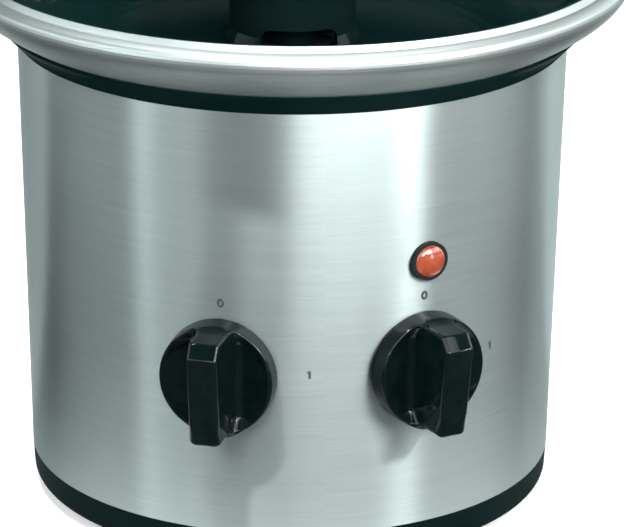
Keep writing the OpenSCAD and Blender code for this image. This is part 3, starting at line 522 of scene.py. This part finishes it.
def knob_distance(u, v, w):
    """Signed distance to the knob: u across, v up the wall, w out of it, from its back, in mm."""
    rho = np.hypot(u, v)
    face = (w - dish_height(u, rho)) * DISH_SCALE
    skirt = smooth_max(rho - KNOB_R + SKIRT_DRAFT * w, face, SKIRT_ROUND)
    body = smooth_min(skirt, bar_distance(u, v, w, rho), BAR_FILLET)
    body = np.maximum(smooth_max(body, rho - KNOB_R, WALL_ROUND), -w)
    recess = np.maximum(rho - RECESS_R, w - RECESS_H)
    bore = np.maximum(rho - BORE_R, w - BORE_H)
    return np.maximum(body, -np.minimum(recess, bore))


def gradient(field, points, step):
    """Unit vectors that point the way the field grows."""
    slope = np.zeros_like(points)
    for axis in range(3):
        shift = np.zeros(3)
        shift[axis] = step
        slope[:, axis] = field(*(points + shift).T) - field(*(points - shift).T)
    length = np.linalg.norm(slope, axis=1, keepdims=True)
    return slope / np.maximum(length, 1e-9)


def surface_net(field, low, high, cell):
    """Quad mesh of the field's zero surface, its vertices moved on to that surface."""
    axes = [np.arange(a, b + cell, cell) for a, b in zip(low, high)]
    grid = np.stack(np.meshgrid(*axes, indexing="ij"), -1)
    value = field(grid[..., 0], grid[..., 1], grid[..., 2])
    solid = value < 0
    shape = np.array(value.shape) - 1
    corners = [(i, j, k) for i in (0, 1) for j in (0, 1) for k in (0, 1)]
    total = np.zeros(tuple(shape) + (3,))
    count = np.zeros(tuple(shape))
    for near in corners:
        for axis in range(3):
            if near[axis]:
                continue
            far = list(near)
            far[axis] = 1
            a = tuple(slice(near[n], near[n] + shape[n]) for n in range(3))
            b = tuple(slice(far[n], far[n] + shape[n]) for n in range(3))
            crossing = solid[a] != solid[b]
            t = value[a] / np.where(crossing, value[a] - value[b], 1.0)
            point = grid[a] + (grid[b] - grid[a]) * t[..., None]
            total += np.where(crossing[..., None], point, 0.0)
            count += crossing
    used = count > 0
    index = np.full(used.shape, -1)
    index[used] = np.arange(used.sum())
    points = total[used] / count[used][:, None]
    for _ in range(SNAP_ROUNDS):
        gap = np.clip(field(*points.T), -cell, cell)[:, None]
        points -= gradient(field, points, NET_STEP) * gap * SNAP_SHARE
    return points, net_faces(solid, index)


def net_faces(solid, index):
    """One quad round each grid edge that the surface crosses."""
    faces = []
    size = np.array(solid.shape)
    for axis in range(3):
        b, c = [n for n in range(3) if n != axis]
        low = [slice(1, size[n] - 1) for n in range(3)]
        low[axis] = slice(0, size[axis] - 1)
        high = list(low)
        high[axis] = slice(1, size[axis])
        here, there = solid[tuple(low)], solid[tuple(high)]
        where = np.argwhere(here != there)
        inner = here[tuple(where.T)]
        base = where + np.array([low[n].start for n in range(3)])
        ring = []
        for back_b, back_c in ((1, 1), (0, 1), (0, 0), (1, 0)):
            place = base.copy()
            place[:, b] -= back_b
            place[:, c] -= back_c
            ring.append(index[tuple(place.T)])
        quad = np.stack(ring, 1)
        outward = inner if axis != 1 else ~inner
        quad[~outward] = quad[~outward][:, ::-1]
        faces.append(quad)
    return np.concatenate(faces)


def mesh_object(name, points, faces, normals=None):
    """A smooth-shaded object, its shading normals given or worked out."""
    mesh = bpy.data.meshes.new(name)
    mesh.from_pydata([tuple(p) for p in points], [], [tuple(int(i) for i in f) for f in faces])
    mesh.update()
    mesh.shade_smooth()
    if normals is not None:
        mesh.normals_split_custom_set_from_vertices([tuple(n) for n in normals])
    obj = bpy.data.objects.new(name, mesh)
    bpy.context.scene.collection.objects.link(obj)
    return obj


def on_wall(azimuth, z_mm, out_mm):
    """Matrix of a place on the housing: X to the right, Y up, Z out of the wall."""
    r = (wall_radius(z_mm) + out_mm) * MM
    out = Vector((math.sin(azimuth), -math.cos(azimuth), 0.0))
    right = Vector((math.cos(azimuth), math.sin(azimuth), 0.0))
    turn = Matrix((right, Vector((0, 0, 1)), out)).transposed().to_4x4()
    return Matrix.Translation(out * r + Vector((0, 0, z_mm * MM))) @ turn


def put_on_wall(obj, azimuth, z_mm, out_mm, body):
    """Moves a mesh from its own origin to the wall, where it rides on a body."""
    obj.data.transform(on_wall(azimuth, z_mm, out_mm))
    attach(obj, body)


def make_knobs(materials):
    """The two knobs, alike, each in the place of its CAD node."""
    reach = KNOB_R + 1.0
    points, faces = surface_net(knob_distance, (-reach, -reach, -1.0), (reach, reach, BAR_TIP + 1), CELL)
    normals = gradient(knob_distance, points, SHADE_STEP)
    for side, node in ((-1, "motor_knob"), (1, "heat_knob")):
        obj = mesh_object(node + "_form", points * MM, faces, normals)
        obj.data.materials.append(materials["knob_black"])
        put_on_wall(obj, side * KNOB_AZIMUTH, KNOB_Z, KNOB_LIFT, node)
        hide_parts(node)


# ---------------------------------------------------------------- printed numbers
def stroke(path, closed):
    """A flat printed stroke along a path of points, with a little thickness."""
    path = np.array(path, float)
    count = len(path)
    ahead = np.roll(path, -1, 0) if closed else np.vstack([path[1:], 2 * path[-1] - path[-2]])
    behind = np.roll(path, 1, 0) if closed else np.vstack([2 * path[0] - path[1], path[:-1]])
    along = ahead - behind
    along /= np.linalg.norm(along, axis=1, keepdims=True)
    across = np.stack([-along[:, 1], along[:, 0]], 1) * MARK_WIDTH / 2
    rings = []
    for side, lift in ((1, 0.0), (1, MARK_THICK), (-1, MARK_THICK), (-1, 0.0)):
        rings.append(np.column_stack([path + side * across, np.full(count, lift)]))
    points = np.concatenate(rings)
    faces = []
    for i in range(count if closed else count - 1):
        j = (i + 1) % count
        for k in range(4):
            m = (k + 1) % 4
            faces.append((k * count + i, m * count + i, m * count + j, k * count + j))
    if not closed:
        faces.append((0, count, 2 * count, 3 * count))
        faces.append((count - 1, 4 * count - 1, 3 * count - 1, 2 * count - 1))
    return points, faces


def make_mark(name, path, closed, azimuth, z_mm, ink):
    """One printed number on the housing."""
    points, faces = stroke(path, closed)
    obj = mesh_object(name, points * MM, faces)
    obj.data.materials.append(ink)
    put_on_wall(obj, azimuth, z_mm, MARK_GAP, "base")


def make_marks():
    """A 0 above each knob and a 1 to its right."""
    ink = printed_ink()
    turn = [2 * math.pi * i / ZERO_STEPS for i in range(ZERO_STEPS)]
    zero = [(ZERO_HALF[0] * math.cos(a), ZERO_HALF[1] * math.sin(a)) for a in turn]
    for side, word in ((-1, "motor"), (1, "heat")):
        azimuth = side * KNOB_AZIMUTH
        make_mark(word + "_mark_0", zero, True, azimuth, MARK_Z[0], ink)
        make_mark(word + "_mark_1", ONE_PATH, False, azimuth + MARK_TURN, MARK_Z[1], ink)


# ---------------------------------------------------------------- camera and studio
def make_camera():
    """The camera of the photograph, a long lens that looks down on the object."""
    forward = Vector((-math.sin(CAM_AZIMUTH), math.cos(CAM_AZIMUTH), 0.0))
    right = Vector((math.cos(CAM_AZIMUTH), math.sin(CAM_AZIMUTH), 0.0))
    place = -forward * CAM_DISTANCE + Vector((0, 0, CAM_HEIGHT))
    aim = forward * math.cos(CAM_PITCH) - Vector((0, 0, 1)) * math.sin(CAM_PITCH)
    up = right.cross(aim)
    right, aim = (right * math.cos(CAM_YAW) - aim * math.sin(CAM_YAW),
                  aim * math.cos(CAM_YAW) + right * math.sin(CAM_YAW))
    tilted = right * math.cos(CAM_ROLL) + up * math.sin(CAM_ROLL)
    up = up * math.cos(CAM_ROLL) - right * math.sin(CAM_ROLL)
    data = bpy.data.cameras.new("camera")
    data.sensor_width = SENSOR_MM
    data.lens = FOCAL_PX / PHOTO_W * SENSOR_MM
    data.clip_end = CAM_REACH
    camera = bpy.data.objects.new("camera", data)
    camera.matrix_world = Matrix.Translation(place) @ Matrix((tilted, up, -aim)).transposed().to_4x4()
    bpy.context.scene.collection.objects.link(camera)
    bpy.context.scene.camera = camera


def add_light(name, place, turn, size, radiance, colour):
    """A rectangular soft light, as bright as its radiance whatever its size, unseen by the camera."""
    data = bpy.data.lights.new(name, "AREA")
    data.shape = "RECTANGLE"
    data.size, data.size_y = size
    data.energy = radiance * math.pi * size[0] * size[1]
    data.color = colour
    data.spread = BOX_SPREAD
    obj = bpy.data.objects.new(name, data)
    obj.location = place
    obj.rotation_euler = turn
    obj.visible_camera = False
    bpy.context.scene.collection.objects.link(obj)


def make_lights():
    """The soft lights stand round the object and face it; two hang overhead."""
    for name, azimuth, distance, low, high, width, radiance, colour in SOFTBOXES:
        a = CAM_AZIMUTH + math.radians(azimuth)
        place = (math.sin(a) * distance, -math.cos(a) * distance, (low + high) / 2)
        add_light(name, place, (math.pi / 2, 0.0, a), (width, high - low), radiance, colour)
    for name, place, tilt, turn, size, radiance in OVERHEADS:
        add_light(name, place, (math.radians(tilt), 0.0, math.radians(turn)), size, radiance, WHITE)


def make_world():
    """Pale sweep up to the horizon, a dim room above it. The camera sees white, and so do metal and
    glass towards the sweep."""
    world = bpy.data.worlds.new("studio")
    bpy.context.scene.world = world
    g = Graph(world)
    split = g.new("ShaderNodeSeparateXYZ")
    g.put(split.inputs[0], g.new("ShaderNodeTexCoord").outputs["Generated"])
    rise = g.remap(split.outputs["Z"], (0.0, SWEEP_TOP, 0.0, 1.0), smooth=True)
    room = g.mix(rise, SWEEP, ROOM)
    low = g.math("SUBTRACT", 1.0, rise)
    mirrored = g.math("MULTIPLY", g.ray("Is Glossy Ray", "Is Transmission Ray"), low)
    seen = g.math("MAXIMUM", g.ray("Is Camera Ray"), mirrored)
    g.put(g.nodes["Background"].inputs["Color"], g.mix(seen, room, (*WHITE, 1.0)))


def make_floor():
    """White paper. Part of its white is its own glow, seen by camera, metal and glass."""
    half = FLOOR_HALF
    corners = [(-half, -half, 0), (half, -half, 0), (half, half, 0), (-half, half, 0)]
    floor = mesh_object("floor", corners, [(0, 1, 2, 3)])
    m = Material("floor_paper")
    fibre = m.mottle(per_m=300.0, detail=4.0)
    m.set(Base_Color=m.tint(fibre, (0.76, 0.76, 0.76), (0.78, 0.78, 0.78)), Roughness=0.85)
    seen = m.ray("Is Camera Ray", "Is Glossy Ray", "Is Transmission Ray")
    glow = m.remap(m.distance(), GLOW_RANGE, smooth=True)
    m.set(Emission_Color=(*WHITE, 1.0), Emission_Strength=m.math("MULTIPLY", seen, glow))
    floor.data.materials.append(m.mat)


def make_card():
    """Dark card on the floor round the front, seen only in reflections: the gloss's dark side."""
    corners = []
    for radius in (CARD_NEAR, CARD_FAR):
        for i in range(CARD_STEPS + 1):
            a = CAM_AZIMUTH + CARD_LEFT + (CARD_RIGHT - CARD_LEFT) * i / CARD_STEPS
            corners.append((math.sin(a) * radius, -math.cos(a) * radius, CARD_LIFT))
    outer = CARD_STEPS + 1
    card = mesh_object("card", corners, [(i, i + outer, i + outer + 1, i + 1) for i in range(CARD_STEPS)])
    m = Material("card_felt")
    fade = m.math("DIVIDE", m.math("SUBTRACT", m.distance(), CARD_NEAR), CARD_FADE)
    depth = m.math("ADD", fade, m.ramp(m.mottle(per_m=900.0, detail=3.0), -0.02, 0.02))
    m.set(Base_Color=m.tint(depth, (0.70, 0.70, 0.70), (0.035, 0.037, 0.037)), Roughness=0.95)
    card.data.materials.append(m.mat)
    card.visible_camera = False
    card.visible_shadow = False
    card.visible_diffuse = False


materials = make_materials()
dress(materials)
make_knobs(materials)
make_marks()
make_camera()
make_lights()
make_world()
make_floor()
make_card()
bpy.context.scene.view_settings.view_transform = "Standard"
